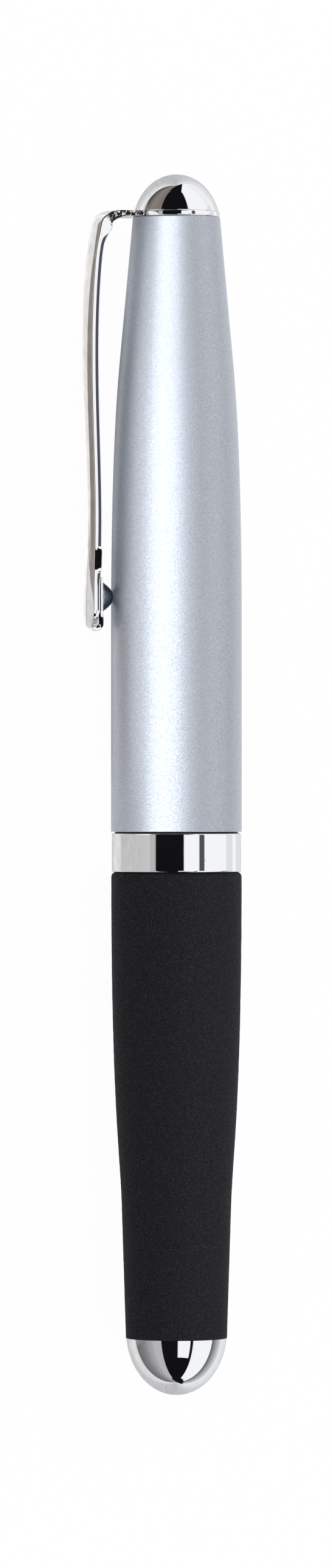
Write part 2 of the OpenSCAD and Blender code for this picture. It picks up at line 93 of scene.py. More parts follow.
def ramp(tree, factor, stops, interpolation="LINEAR"):
    """Colour ramp through stops of a position and a colour, in rising order."""
    made = wire(tree, "ValToRGB", {"Fac": factor})
    elements = made.color_ramp.elements
    made.color_ramp.interpolation = interpolation
    for element, (position, colour) in zip((elements[0], elements[1]), (stops[0], stops[-1])):
        element.position = position
        element.color = (*colour, 1.0)
    for position, colour in stops[1:-1]:
        elements.new(position).color = (*colour, 1.0)
    return made.outputs["Color"]


def spread(tree, value, low, high, start=0.0, end=1.0):
    """Value carried from the range start to end over to the range low to high."""
    limits = {"Value": value, "From Min": start, "From Max": end, "To Min": low, "To Max": high}
    return wire(tree, "MapRange", limits).outputs["Result"]


def raised(tree, height, distance):
    """Normal of a surface whose height texture, from 0 to 1, stands that many metres high."""
    return wire(tree, "Bump", {"Strength": 1.0, "Distance": distance, "Height": height}).outputs["Normal"]


def effect(name, inputs, outputs):
    """Shader node group with the named sockets, given with their socket types."""
    tree = bpy.data.node_groups.new(name, "ShaderNodeTree")
    for label, kind in inputs.items():
        tree.interface.new_socket(label, in_out="INPUT", socket_type="NodeSocket" + kind)
    for label, kind in outputs.items():
        tree.interface.new_socket(label, in_out="OUTPUT", socket_type="NodeSocket" + kind)
    taken = tree.nodes.new("NodeGroupInput").outputs
    given = tree.nodes.new("NodeGroupOutput").inputs
    return tree, taken, given


def finish(name, **values):
    """Material with one Principled shader, whose constant sockets are written with _ for a space."""
    made = bpy.data.materials.new(name)
    made.use_nodes = True
    sockets = made.node_tree.nodes["Principled BSDF"].inputs
    for socket, value in values.items():
        sockets[socket.replace("_", " ")].default_value = value
    return made, made.node_tree, sockets


streaks, streaks_in, streaks_out = effect("tool_streaks", {"Grain": "Vector"}, {"Height": "Float"})
streaks_at = wire(streaks, "TexCoord", {}).outputs["Object"]
streaks_drawn = wire(streaks, "VectorMath", {0: streaks_at, 1: streaks_in["Grain"]}, operation="MULTIPLY")
streaks_noise = wire(streaks, "TexNoise", {"Vector": streaks_drawn.outputs["Vector"], "Scale": 1.0,
                                           "Detail": 5.0, "Roughness": 0.65})
streaks.links.new(streaks_noise.outputs["Fac"], streaks_out["Height"])


def worked_metal(name, colour, grain, roughness, depth):
    """Metal with tool marks, which shift its tint and roughness and stand up as a bump of that depth.
    grain counts the streaks in a metre along X, Y and Z."""
    made, tree, shader = finish(name, Metallic=1.0)
    marks = wire(tree, "Group", {}, node_tree=streaks)
    marks.inputs["Grain"].default_value = grain
    height = marks.outputs["Height"]
    dull = tuple(0.78 * c for c in colour)
    tree.links.new(ramp(tree, height, [(0.3, dull), (0.65, colour)]), shader["Base Color"])
    tree.links.new(spread(tree, height, 1.35 * roughness, 0.7 * roughness, 0.3, 0.7), shader["Roughness"])
    tree.links.new(raised(tree, height, depth), shader["Normal"])
    return made


def coat(node, made):
    """Gives a CAD node's own mesh a new material."""
    mesh = frame["nodes"][node].data
    mesh.materials.clear()
    mesh.materials.append(made)


along_axis = (150, 9000, 9000)
round_axis = (11000, 250, 250)
coat("barrel_tube", worked_metal("drawn_aluminium", (0.74, 0.75, 0.77), along_axis, 0.28, 4e-6))

# Thread bush: a brass bush turned on a lathe and pressed into the tube's mouth. Its flange clamps the
# band against the tube's end, and its bore is tapped for the front section.
sides = 192
crease = math.radians(38)
screw_pitch = 0.8
screw_slope = 0.26


def reach(node):
    """Lowest and highest place of a CAD node along the pen's axis, and its greatest radius, in mm."""
    low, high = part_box(node)
    return low.x / mm, high.x / mm, (high.y - low.y) / 2 / mm


def softened(outline, radii, steps=6):
    """Closed outline with its corners rounded. A corner P becomes the parabola with P as its control
    point, which leaves both sides at that corner's radius, or halfway along a shorter side."""
    corners = np.asarray(outline, float)
    back = np.roll(corners, 1, 0) - corners
    on = np.roll(corners, -1, 0) - corners
    back_len = np.linalg.norm(back, axis=1)
    on_len = np.linalg.norm(on, axis=1)
    cut = np.minimum(np.broadcast_to(radii, back_len.shape), np.minimum(back_len, on_len) / 2)
    start = corners + back * (cut / back_len)[:, None]
    end = corners + on * (cut / on_len)[:, None]
    t = np.linspace(0, 1, steps + 1)[None, :, None]
    curve = (1 - t) ** 2 * start[:, None] + 2 * t * (1 - t) * corners[:, None] + t * t * end[:, None]
    points = curve.reshape(-1, 2)
    moved = np.linalg.norm(points - np.roll(points, 1, 0), axis=1)
    return points[moved > 1e-6]


def turned(outline):
    """Rings of a surface of revolution: the outline's point (x, r) goes to (x, r cos u, r sin u), with
    u in even steps round the pen's axis."""
    turn = np.linspace(0, 2 * np.pi, sides, endpoint=False)
    x = np.broadcast_to(outline[:, :1], (len(outline), sides))
    return np.stack([x, outline[:, 1:] * np.cos(turn), outline[:, 1:] * np.sin(turn)], -1)


def threaded(rings, start, end, radius, depth, width):
    """Rings with a screw thread sunk into the wall of that radius between two places on the axis. The
    phase is x / pitch less the share of the turn; within width of its middle the wall loses depth."""
    x = rings[..., 0]
    r = np.hypot(rings[..., 1], rings[..., 2])
    share = np.arctan2(rings[..., 2], rings[..., 1]) / (2 * np.pi)
    away = np.abs((x / screw_pitch - share) % 1 - 0.5)
    groove = np.clip((width - away) / screw_slope, 0, 1)
    run_out = np.clip(np.minimum(x - start, end - x) / (screw_pitch / 2), 0, 1)
    on_wall = np.abs(r - radius) < 0.01
    scale = 1 - on_wall * depth * groove * run_out / np.maximum(r, 1e-6)
    return rings * np.stack([np.ones_like(scale), scale, scale], -1)


def skin(rings, ends=None):
    """Points, quads and triangles over a stack of closed rings. With ends, two points, a fan closes each
    end of the stack; without, the last ring joins the first. A skin that is inside out is turned."""
    count, round_count = rings.shape[:2]
    index = np.arange(count * round_count).reshape(count, round_count)
    rows = np.vstack([index, index[:1]]) if ends is None else index
    beside = np.roll(rows, -1, 1)
    quads = np.stack([rows[:-1], rows[1:], beside[1:], beside[:-1]], -1).reshape(-1, 4)
    points = rings.reshape(-1, 3)
    fans = np.zeros((0, 3), int)
    if ends is not None:
        tips = np.full((2, round_count), len(points)) + np.array([[0], [1]])
        points = np.vstack([points, ends])
        fans = np.vstack([np.stack([tips[0], index[0], beside[0]], -1),
                          np.stack([tips[1], beside[-1], index[-1]], -1)])
    corners = np.vstack([quads[:, :3], quads[:, [0, 2, 3]], fans])
    a, b, c = points[corners].transpose(1, 0, 2)
    if np.sum(a * np.cross(b, c)) < 0:
        return points, quads[:, ::-1], fans[:, ::-1]
    return points, quads, fans


def mesh_of(name, skins, made):
    """Object of one or more skins, in mm, shaded smooth between its creases, with flat faces kept flat."""
    starts = np.cumsum([0] + [len(points) for points, quads, fans in skins])
    points = np.vstack([points for points, quads, fans in skins])
    quads = np.vstack([quads + start for start, (points_in, quads, fans) in zip(starts, skins)])
    fans = np.vstack([fans + start for start, (points_in, quads_in, fans) in zip(starts, skins)])
    mesh = bpy.data.meshes.new(name)
    mesh.from_pydata((points * mm).tolist(), [], quads.tolist() + fans.tolist())
    mesh.shade_smooth()
    mesh.set_sharp_from_angle(angle=crease)
    mesh.materials.append(made)
    shape = bpy.data.objects.new(name, mesh)
    bpy.context.scene.collection.objects.link(shape)
    shape.modifiers.new("flat_faces_flat", "WEIGHTED_NORMAL").keep_sharp = True
    return shape


def mount(shape, body, *nodes):
    """The piece rides on its body and stands for its CAD nodes."""
    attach(shape, body)
    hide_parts(*nodes)
    return shape


brass = worked_metal("turned_brass", (0.80, 0.61, 0.30), round_axis, 0.24, 3e-6)
bush_end, bush_top, bush_r = reach("thread_bush")
bush_seat = reach("barrel_tube")[1]
bush_body = 3.08
bush_bore = 2.5
bush_rows = 160
bush_depth, bush_groove = 0.25, 0.3
bush_stations = np.linspace(bush_top, bush_end, bush_rows)
bush_outline = np.vstack([
    [[bush_end, bush_body], [bush_seat, bush_body], [bush_seat, bush_r], [bush_top, bush_r]],
    np.stack([bush_stations, np.full(bush_rows, bush_bore)], -1)])
bush_round = np.r_[0.12, 0.03, 0.08, 0.08, np.zeros(bush_rows)]
bush_plain = turned(softened(bush_outline, bush_round))
bush_rings = threaded(bush_plain, bush_end, bush_top, bush_bore, bush_depth, bush_groove)
mount(mesh_of("tapped_bush", [skin(bush_rings)], brass), "barrel", "thread_bush")

# Centre band: a turned brass ring, polished and chrome plated, that hides the joint of cap and barrel.
# The bush's flange clamps it. Plating levels out into a mirror with a trace of orange peel.
plating, _, plating_out = effect(
    "bright_plating", {}, {"Color": "Color", "Roughness": "Float", "Height": "Float"})
plating_at = wire(plating, "TexCoord", {}).outputs["Object"]
plating_haze = wire(plating, "TexNoise", {"Vector": plating_at, "Scale": 420.0, "Detail": 4.0})
plating_peel = wire(plating, "TexNoise", {"Vector": plating_at, "Scale": 1100.0, "Detail": 2.0})
plating_dust = wire(plating, "TexVoronoi", {"Vector": plating_at, "Scale": 520.0})
plating_specks = ramp(plating, plating_dust.outputs["Distance"],
                      [(0.025, (0.45, 0.44, 0.43)), (0.045, (0.9, 0.905, 0.915))])
plating.links.new(plating_specks, plating_out["Color"])
plating_dull = spread(plating, plating_haze.outputs["Fac"], 0.012, 0.05, 0.35, 0.7)
plating.links.new(plating_dull, plating_out["Roughness"])
plating.links.new(plating_peel.outputs["Fac"], plating_out["Height"])


def bright_plate(name, peel):
    """Chrome plate over polished metal, whose orange peel stands that many metres high."""
    made, tree, shader = finish(name, Metallic=1.0)
    film = wire(tree, "Group", {}, node_tree=plating).outputs
    tree.links.new(film["Color"], shader["Base Color"])
    tree.links.new(film["Roughness"], shader["Roughness"])
    tree.links.new(raised(tree, film["Height"], peel), shader["Normal"])
    return made


chrome = bright_plate("chrome_plate", 3e-7)
band_end, band_top, band_r = reach("centre_band")
slip_fit = 0.02
band_bore = reach("barrel_tube")[2] + slip_fit
band_seat = bush_r + slip_fit
band_outline = [[band_end, band_bore], [band_end, band_r], [band_top, band_r], [band_top, band_seat],
                [bush_seat, band_seat], [bush_seat, band_bore]]
band_rings = turned(softened(band_outline, [0.03, 0.16, 0.16, 0.05, 0.03, 0.03]))
mount(mesh_of("plated_band", [skin(band_rings)], chrome), "barrel", "centre_band")

# Grip sleeve: a moulded rubber sleeve, waisted towards the tail, drawn over the tube. Its skin is a dense
# fine grain with a faint sparkle, and its cut lower edge is a little ragged.
sleeve_end, sleeve_top, sleeve_r = reach("grip_sleeve")
sleeve_bore = band_bore
sleeve_edge = 0.4
sleeve_waist_r = 4.71
sleeve_tail_r = 4.35
sleeve_waist = sleeve_top - 28.6
sleeve_full = 19.4
sleeve_run_in = 4.6
sleeve_grain = 0.008
sleeve_rag = 0.035


def bezier(controls, count):
    """Points on the cubic curve of four control points, at even steps of its parameter."""
    t = np.linspace(0, 1, count)[:, None]
    a, b, c, d = np.asarray(controls, float)
    return (1 - t) ** 3 * a + 3 * (1 - t) ** 2 * t * b + 3 * (1 - t) * t * t * c + t ** 3 * d


sleeve_slope = (sleeve_waist_r - sleeve_tail_r) / (sleeve_waist - sleeve_end)
sleeve_start = sleeve_top - sleeve_edge
sleeve_side = bezier([[sleeve_start, sleeve_r], [sleeve_start - sleeve_full, sleeve_r],
                      [sleeve_waist + sleeve_run_in, sleeve_waist_r + sleeve_slope * sleeve_run_in],
                      [sleeve_waist, sleeve_waist_r]], 150)
sleeve_turn = np.linspace(np.pi / 2, 0, 8, endpoint=False)[:, None]
sleeve_shoulder = np.hstack([sleeve_start + sleeve_edge * np.sin(sleeve_turn),
                             sleeve_r - sleeve_edge + sleeve_edge * np.cos(sleeve_turn)])
sleeve_tail = np.linspace([sleeve_waist, sleeve_waist_r], [sleeve_end, sleeve_tail_r], 70)[1:]
sleeve_outer = np.vstack([sleeve_shoulder, sleeve_side, sleeve_tail])
sleeve_inner = [[sleeve_end, sleeve_bore], [sleeve_top, sleeve_bore]]
sleeve_rings = turned(np.vstack([sleeve_outer, sleeve_inner]))
sleeve_noise = np.random.default_rng(11).standard_normal((len(sleeve_outer), sides))
sleeve_noise = (sleeve_noise + np.roll(sleeve_noise, 1, 1) + np.roll(sleeve_noise, 1, 0)) / 3
sleeve_lift = 1 + sleeve_grain * np.clip(sleeve_noise, -2, 1.2)[..., None] / sleeve_r
sleeve_rings[:len(sleeve_outer), :, 1:] *= sleeve_lift
sleeve_rings[len(sleeve_outer) - 1, :, 0] += sleeve_rag * np.abs(sleeve_noise[-1])

grain, grain_in, grain_out = effect(
    "rubber_grain", {"Scale": "Float"}, {"Height": "Float", "Sparkle": "Float", "Tint": "Color"})
grain_at = wire(grain, "TexCoord", {}).outputs["Object"]
grain_cells = wire(grain, "TexVoronoi", {"Vector": grain_at, "Scale": grain_in["Scale"]})
grain_mottle = wire(grain, "TexNoise", {"Vector": grain_at, "Scale": grain_in["Scale"], "Detail": 3.0})
grain_pick = wire(grain, "SeparateColor", {"Color": grain_cells.outputs["Color"]})
grain.links.new(grain_mottle.outputs["Fac"], grain_out["Height"])
grain.links.new(grain_pick.outputs["Red"], grain_out["Sparkle"])
grain.links.new(grain_cells.outputs["Color"], grain_out["Tint"])


def mixed(tree, share, first, second, blend="MIX"):
    """Colour that goes over from the first to the second by a share, or blends them that much."""
    colours = {"Factor": share, 6: first, 7: second}
    return wire(tree, "Mix", colours, data_type="RGBA", blend_type=blend).outputs[2]


soft_rubber, tree, shader = finish("granular_rubber", Specular_IOR_Level=0.06)
skin_grain = wire(tree, "Group", {"Scale": 21000.0}, node_tree=grain).outputs
skin_shade = ramp(tree, skin_grain["Sparkle"], [
    (0.0, (0.0065, 0.0065, 0.008)), (0.6, (0.0098, 0.01, 0.0125)), (0.9, (0.016, 0.0165, 0.02)),
    (1.0, (0.03, 0.031, 0.036))])
skin_tint = mixed(tree, 0.22, skin_shade, skin_grain["Tint"], "SOFT_LIGHT")
tree.links.new(skin_tint, shader["Base Color"])
tree.links.new(spread(tree, skin_grain["Sparkle"], 0.78, 0.5), shader["Roughness"])
tree.links.new(raised(tree, skin_grain["Height"], 3e-5), shader["Normal"])
sleeve = mount(mesh_of("rubber_sleeve", [skin(sleeve_rings)], soft_rubber), "barrel", "grip_sleeve")

# Tail dome: a turned and chrome plated dome whose plug is pressed into the tube's end. The pip on the
# plug's face centres the spring.
tail_end, tail_pip_top, tail_r = reach("tail_dome")
tail_axis = 5.5
tail_plug_r = bush_body
tail_plug_top = sleeve_end + 5
tail_pip_r = 0.95


def dome(base, base_r, apex, axis, count):
    """Outline of a dome from its base ring to just short of its apex: part of an ellipse whose centre
    lies on the pen's axis behind the base, with that half-axis along the pen."""
    height = abs(apex - base)
    last = np.arccos(1 - height / axis)
    q = np.linspace(last, 0, count, endpoint=False)[:, None]
    x = apex - np.sign(apex - base) * axis * (1 - np.cos(q))
    return np.hstack([x, base_r / np.sin(last) * np.sin(q)])


def on_axis(*places):
    """Points on the pen's axis."""
    return np.array([[x, 0.0, 0.0] for x in places])


tail_outline = np.vstack([dome(sleeve_end, tail_r, tail_end, tail_axis, 64)[::-1],
                          [[sleeve_end, tail_plug_r], [tail_plug_top, tail_plug_r],
                           [tail_plug_top, tail_pip_r], [tail_pip_top, tail_pip_r]]])
tail_skin = skin(turned(tail_outline), on_axis(tail_end, tail_pip_top))
mount(mesh_of("tail_end_dome", [tail_skin], chrome), "barrel", "tail_dome")

# Refill spring: a compression spring of drawn steel wire with closed ends, which stands on the tail's plug
# and presses the refill forward. It shortens as the refill is pushed back.
spring_low, spring_high, spring_r = reach("refill_spring")
spring_wire_r = 0.18
spring_turns = 7


def coiled(low, high, mean_r, wire_r, turns):
    """Rings of a wire wound on a helix whose rise eases off over the first and the last turn, so that
    the end coils lie close. A ring stands across the wire: radius outwards, pen's axis upwards."""
    wound = turns * np.linspace(0, 1, 40 * turns + 1)
    closed = 0.75
    share = np.clip((wound - closed) / (turns - 2 * closed), 0, 1)
    closing = 2.1 * wire_r * (np.clip(wound, 0, closed) + np.clip(wound - turns + closed, 0, closed))
    x = low + wire_r + closing + share * (high - low - 2 * wire_r - closing[-1])
    turn = (2 * np.pi * wound)[:, None]
    across = np.linspace(0, 2 * np.pi, 14, endpoint=False)
    r = mean_r + wire_r * np.cos(across)
    place = x[:, None] + wire_r * np.sin(across)
    return np.stack([place, r * np.cos(turn), r * np.sin(turn)], -1)


spring_rings = coiled(spring_low, spring_high, spring_r - spring_wire_r, spring_wire_r, spring_turns)
spring_ends = np.array([spring_rings[0].mean(0), spring_rings[-1].mean(0)])
steel = worked_metal("drawn_steel", (0.62, 0.63, 0.65), (5000, 5000, 5000), 0.25, 1.5e-6)
spring = mesh_of("pressing_spring", [skin(spring_rings, spring_ends)], steel)
mount(spring, "barrel", "refill_spring")
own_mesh(spring)

# Refill: a drawn brass ink tube with a moulded stopper in its tail, a turned nickel silver point pressed
# into its shouldered front, and a hard metal ball rolling in the point's socket.
ink_tail, ink_front, ink_r = reach("refill_tube")
ink_wall = 0.3
ink_shoulder = ink_front - 0.45
ink_crimp, crimp_depth, crimp_half = ink_front - 3, 0.12, 0.5
point_low, point_rim, point_r = reach("refill_tip")
point_cone = point_rim - 1.6
point_rim_r = 0.56
socket_r = 0.45
socket_floor = point_rim - 0.8
feed_r = 0.25
ink_mouth = point_r + slip_fit
ink_outline = [[ink_tail, ink_r - ink_wall], [ink_tail, ink_r], [ink_crimp - crimp_half, ink_r],
               [ink_crimp, ink_r - crimp_depth], [ink_crimp + crimp_half, ink_r], [ink_shoulder, ink_r],
               [ink_front, ink_mouth], [point_low, ink_mouth], [point_low, ink_r - ink_wall]]
ink_round = [0.05, 0.08, 0.3, 0.3, 0.3, 0.3, 0.05, 0.02, 0.05]
ink_brass = worked_metal("drawn_brass", (0.80, 0.62, 0.32), along_axis, 0.2, 1e-6)
ink_rings = turned(softened(ink_outline, ink_round))
mount(mesh_of("ink_tube", [skin(ink_rings)], ink_brass), "refill", "refill_tube")
point_groove_r = point_r - 0.1
point_outline = [[point_low, feed_r], [point_low, point_r], [point_cone - 0.35, point_r],
                 [point_cone - 0.3, point_groove_r], [point_cone - 0.1, point_groove_r],
                 [point_cone, point_r - 0.02], [point_rim, point_rim_r], [point_rim, socket_r],
                 [socket_floor, socket_r - 0.1], [socket_floor, feed_r]]
point_silver = worked_metal("nickel_silver", (0.74, 0.71, 0.63), round_axis, 0.16, 1.2e-6)
point_rings = turned(softened(point_outline, 0.05))
mount(mesh_of("writing_point", [skin(point_rings)], point_silver), "refill", "refill_tip")
coat("writing_ball", worked_metal("hard_metal", (0.42, 0.42, 0.44), (30000, 30000, 30000), 0.14, 5e-7))

moulding, moulding_in, moulding_out = effect(
    "moulded_satin", {"Scale": "Float"}, {"Height": "Float", "Cloud": "Float"})
moulding_at = wire(moulding, "TexCoord", {}).outputs["Object"]
moulding_fine = wire(moulding, "TexNoise", {"Vector": moulding_at, "Scale": moulding_in["Scale"],
                                            "Detail": 4.0})
moulding_flow = wire(moulding, "TexNoise", {"Vector": moulding_at, "Scale": 260.0, "Detail": 2.0})
moulding.links.new(moulding_fine.outputs["Fac"], moulding_out["Height"])
moulding.links.new(moulding_flow.outputs["Fac"], moulding_out["Cloud"])


def moulded(name, colour, roughness, scale, depth, **values):
    """Moulded plastic or rubber: flow clouds shift its tint and roughness, and a spark-eroded grain of
    scale to the metre stands depth high."""
    made, tree, shader = finish(name, **values)
    texture = wire(tree, "Group", {"Scale": scale}, node_tree=moulding).outputs
    lighter = tuple(1.3 * c for c in colour)
    tree.links.new(ramp(tree, texture["Cloud"], [(0.3, colour), (0.7, lighter)]), shader["Base Color"])
    dull = spread(tree, texture["Cloud"], 1.15 * roughness, 0.85 * roughness, 0.3, 0.7)
    tree.links.new(dull, shader["Roughness"])
    tree.links.new(raised(tree, texture["Height"], depth), shader["Normal"])
    return made


coat("refill_plug", moulded("milky_plastic", (0.72, 0.72, 0.69), 0.4, 4000.0, 4e-6))

# Section gasket and friction ring: black rubber, a washer with a thin lip under the section's flange and
# a round ring that snaps into the groove of the front section and holds the cap. The washer's lip reaches
# out into the gap between cap and band as a dark sheet of painted shade.
ring_low, ring_high, ring_r = reach("cap_friction_ring")
ring_at = (ring_low + ring_high) / 2
ring_half = (ring_high - ring_low) / 2
ring_turn = np.linspace(0, 2 * np.pi, 28, endpoint=False)[:, None]
ring_outline = np.hstack([ring_at + ring_half * np.sin(ring_turn),
                          ring_r - ring_half + ring_half * np.cos(ring_turn)])
rubber = moulded("black_rubber", (0.016, 0.016, 0.017), 0.55, 6000.0, 6e-6)
mount(mesh_of("friction_ring", [skin(turned(ring_outline))], rubber), "friction_ring", "cap_friction_ring")
gasket_low, gasket_high, gasket_r = reach("section_gasket")
gasket_bore = 2.7
# Painted shade: the washer's lip is a thin dark sheet that fills the gap between cap and band.
gasket_shade_sheet_r = 5.3
gasket_shade_sheet_top = gasket_low + 0.1
gasket_outline = [[gasket_low, gasket_bore], [gasket_low, gasket_shade_sheet_r], [gasket_shade_sheet_top, gasket_shade_sheet_r],
                  [gasket_shade_sheet_top, gasket_r], [gasket_high, gasket_r], [gasket_high, gasket_bore]]
gasket_rings = turned(softened(gasket_outline, [0.03, 0.04, 0.04, 0.03, 0.05, 0.03]))
mount(mesh_of("rubber_washer", [skin(gasket_rings)], rubber), "gasket", "section_gasket")

# Front section: the moulded grip that the cap covers, in satin black. Its flange stops the cap, a groove
# takes the friction ring, the rear spigot is threaded for the bush and the front one takes the nose cone.
section_low, section_high, section_flange_r = reach("front_section")
section_r = 4.31
section_bore = 1.75
section_seat = reach("section_gasket")[1]
section_flange_top = section_seat + 0.32
section_straight = 14
section_belly = 23
spigot_r = 2.45
spigot_depth, spigot_groove, spigot_run_out = 0.3, 0.38, 0.5
groove_r = 3.515
groove_low, groove_high = ring_at - 0.5, ring_at + 0.5
nose_base, nose_end, nose_r = reach("nose_cone")
nose_spigot_r = 2.05
spigot_rows, taper_rows = 140, 60
spigot_stations = np.linspace(section_low, section_seat, spigot_rows)
section_t = np.linspace(0, 1, taper_rows)[:, None]
section_taper = ((1 - section_t) ** 2 * [section_straight, section_r]
                 + 2 * section_t * (1 - section_t) * [section_belly, section_r]
                 + section_t ** 2 * [nose_base, nose_r])
section_outline = np.vstack([
    [[section_low, section_bore]],
    np.stack([spigot_stations, np.full(spigot_rows, spigot_r)], -1),
    [[section_seat, section_flange_r], [section_flange_top, section_flange_r],
     [section_flange_top, section_r], [groove_low, section_r], [groove_low, groove_r],
     [groove_high, groove_r], [groove_high, section_r]],
    section_taper,
    [[nose_base, nose_spigot_r], [section_high, nose_spigot_r], [section_high, section_bore]]])
section_round = np.r_[np.zeros(1 + spigot_rows), 0.08, 0.08, 0.06, 0.08, 0.06, 0.06, 0.08,
                      np.zeros(taper_rows), 0.02, 0.1, 0.05]
section_rings = threaded(turned(softened(section_outline, section_round)), section_low,
                         section_seat - spigot_run_out, spigot_r, spigot_depth, spigot_groove)
satin_black = moulded("satin_black", (0.022, 0.022, 0.024), 0.42, 5200.0, 1e-5, Specular_IOR_Level=0.5)
mount(mesh_of("grip_section", [skin(section_rings)], satin_black), "section", "front_section")

# Nose cone: a turned and chrome plated ogive pressed over the section's front spigot. The refill's
# shoulder bears inside it and its point comes out at the blunt end.
nose_end_r = 1.5
nose_bore = 1.2
nose_socket = nose_spigot_r + slip_fit
nose_shoulder = section_high + 0.1
nose_belly = nose_base + 3.6
nose_round = 0.15
nose_rows = 40
nose_t = np.linspace(0, 1, nose_rows)[:, None]
nose_side = ((1 - nose_t) ** 2 * [nose_base, nose_r] + 2 * nose_t * (1 - nose_t) * [nose_belly, nose_r]
             + nose_t ** 2 * [nose_end, nose_end_r])
nose_outline = np.vstack([[[nose_base, nose_socket]], nose_side,
                          [[nose_end, nose_bore], [nose_shoulder + ink_r - point_r, nose_bore],
                           [nose_shoulder, section_bore], [nose_shoulder, nose_socket]]])
nose_radii = np.r_[0.02, 0.04, np.zeros(nose_rows - 2), nose_round, 0.1, np.full(3, 0.02)]
nose_rings = turned(softened(nose_outline, nose_radii))
mount(mesh_of("plated_nose", [skin(nose_rings)], chrome), "section", "nose_cone")

# Cap shell: deep drawn metal, straight and then tapering to a flat pierced top, with a turned-over lip.
# It is sprayed in silver lacquer whose aluminium flakes lie at slightly different tilts.
cap_lip, cap_top, cap_r = reach("cap_tube")
cap_top_r = 3.75
cap_straight = 17
cap_shoulder = 32.2
cap_cone = 40
cap_wall = 0.55
cap_top_wall = 0.8
cap_hole = 1.55
cap_edge, cap_lip_edge, cap_hole_edge = 0.13, 0.06, 0.05
cap_rows = 60


def cap_radius(x):
    """Outside radius of the cap: constant, then a parabola whose control point is where the lines of
    the straight run and of the cone meet, then the cone down to the flat top."""
    x = np.asarray(x, float)
    slope = (cap_top_r - cap_r) / (cap_top - cap_shoulder)
    bend = cap_straight - 2 * cap_shoulder + cap_cone
    rise = cap_shoulder - cap_straight
    t = (np.sqrt(rise ** 2 + bend * np.clip(x - cap_straight, 0, cap_cone - cap_straight)) - rise) / bend
    curve = cap_r + t * t * slope * (cap_cone - cap_shoulder)
    return np.where(x > cap_cone, cap_r + slope * (x - cap_shoulder), curve)


cap_curve = np.linspace(cap_straight, cap_cone, cap_rows)
cap_stations = np.r_[cap_lip, cap_curve, cap_top]
cap_inside = np.r_[cap_lip, cap_curve, cap_top - cap_top_wall]
cap_outline = np.vstack([
    np.stack([cap_stations, cap_radius(cap_stations)], -1),
    [[cap_top, cap_hole], [cap_top - cap_top_wall, cap_hole]],
    np.stack([cap_inside, cap_radius(cap_inside) - cap_wall], -1)[::-1]])
cap_round = np.r_[cap_lip_edge, np.zeros(cap_rows), cap_edge, np.full(3, cap_hole_edge),
                  np.zeros(cap_rows), cap_edge]

flakes, flakes_in, flakes_out = effect(
    "paint_flakes", {"Scale": "Float", "Tilt": "Float"}, {"Shade": "Float", "Normal": "Vector"})
flakes_at = wire(flakes, "TexCoord", {}).outputs["Object"]
flakes_field = wire(flakes, "TexNoise", {"Vector": flakes_at, "Scale": flakes_in["Scale"],
                                         "Detail": 1.5}).outputs
flakes_lean = wire(flakes, "VectorMath", {0: flakes_field["Color"], 1: (0.5, 0.5, 0.5)},
                   operation="SUBTRACT")
flakes_tilt = wire(flakes, "VectorMath", {0: flakes_lean.outputs["Vector"], "Scale": flakes_in["Tilt"]},
                   operation="SCALE")
flakes_normal = wire(flakes, "VectorMath", {0: wire(flakes, "NewGeometry", {}).outputs["Normal"],
                                            1: flakes_tilt.outputs["Vector"]}, operation="ADD")
flakes_unit = wire(flakes, "VectorMath", {0: flakes_normal.outputs["Vector"]}, operation="NORMALIZE")
flakes.links.new(flakes_field["Fac"], flakes_out["Shade"])
flakes.links.new(flakes_unit.outputs["Vector"], flakes_out["Normal"])

silver_paint, tree, shader = finish("silver_flake_lacquer", Metallic=0.92, Coat_Weight=0.06,
                                    Coat_Roughness=0.2)
paint_flakes = wire(tree, "Group", {"Scale": 9500.0, "Tilt": 0.2}, node_tree=flakes).outputs
paint_shade = ramp(tree, paint_flakes["Shade"], [
    (0.3, (0.4, 0.42, 0.465)), (0.52, (0.465, 0.49, 0.54)), (0.72, (0.56, 0.58, 0.63))])
tree.links.new(paint_shade, shader["Base Color"])
tree.links.new(spread(tree, paint_flakes["Shade"], 0.49, 0.44, 0.3, 0.7), shader["Roughness"])
tree.links.new(paint_flakes["Normal"], shader["Normal"])
cap_shell = mesh_of("painted_cap", [skin(turned(softened(cap_outline, cap_round)))], silver_paint)
mount(cap_shell, "cap", "cap_tube")

# Cap liner: a moulded sleeve pressed into the cap. Its skirt grips the friction ring, its tapered part
# covers the writing point, and the finial's nut clamps its closed end.
liner_low, liner_top, liner_r = reach("cap_liner")
liner_bore = liner_r - 0.6
liner_seat = liner_low + 14
liner_relief = 0.2
liner_wall = 0.5
liner_end = liner_top - 1
liner_stations = np.linspace(cap_straight, cap_cone, 40)
liner_out = np.r_[liner_stations, liner_top]
liner_in = np.r_[liner_stations, liner_end]
liner_free = cap_wall + liner_relief
liner_outline = np.vstack([
    [[liner_low, liner_bore], [liner_low, liner_r], [liner_seat, liner_r],
     [liner_seat + liner_relief, cap_r - liner_free]],
    np.stack([liner_out, cap_radius(liner_out) - liner_free], -1),
    [[liner_top, cap_hole], [liner_end, cap_hole]],
    np.stack([liner_in, cap_radius(liner_in) - liner_free - liner_wall], -1)[::-1],
    [[cap_straight, liner_bore]]])
liner_round = np.zeros(len(liner_outline))
liner_round[:3] = [0.25, 0.1, 0.1]
grey_liner = moulded("grey_liner", (0.06, 0.06, 0.064), 0.45, 4200.0, 6e-6)
liner_rings = turned(softened(liner_outline, liner_round))
mount(mesh_of("moulded_liner", [skin(liner_rings)], grey_liner), "cap", "cap_liner")

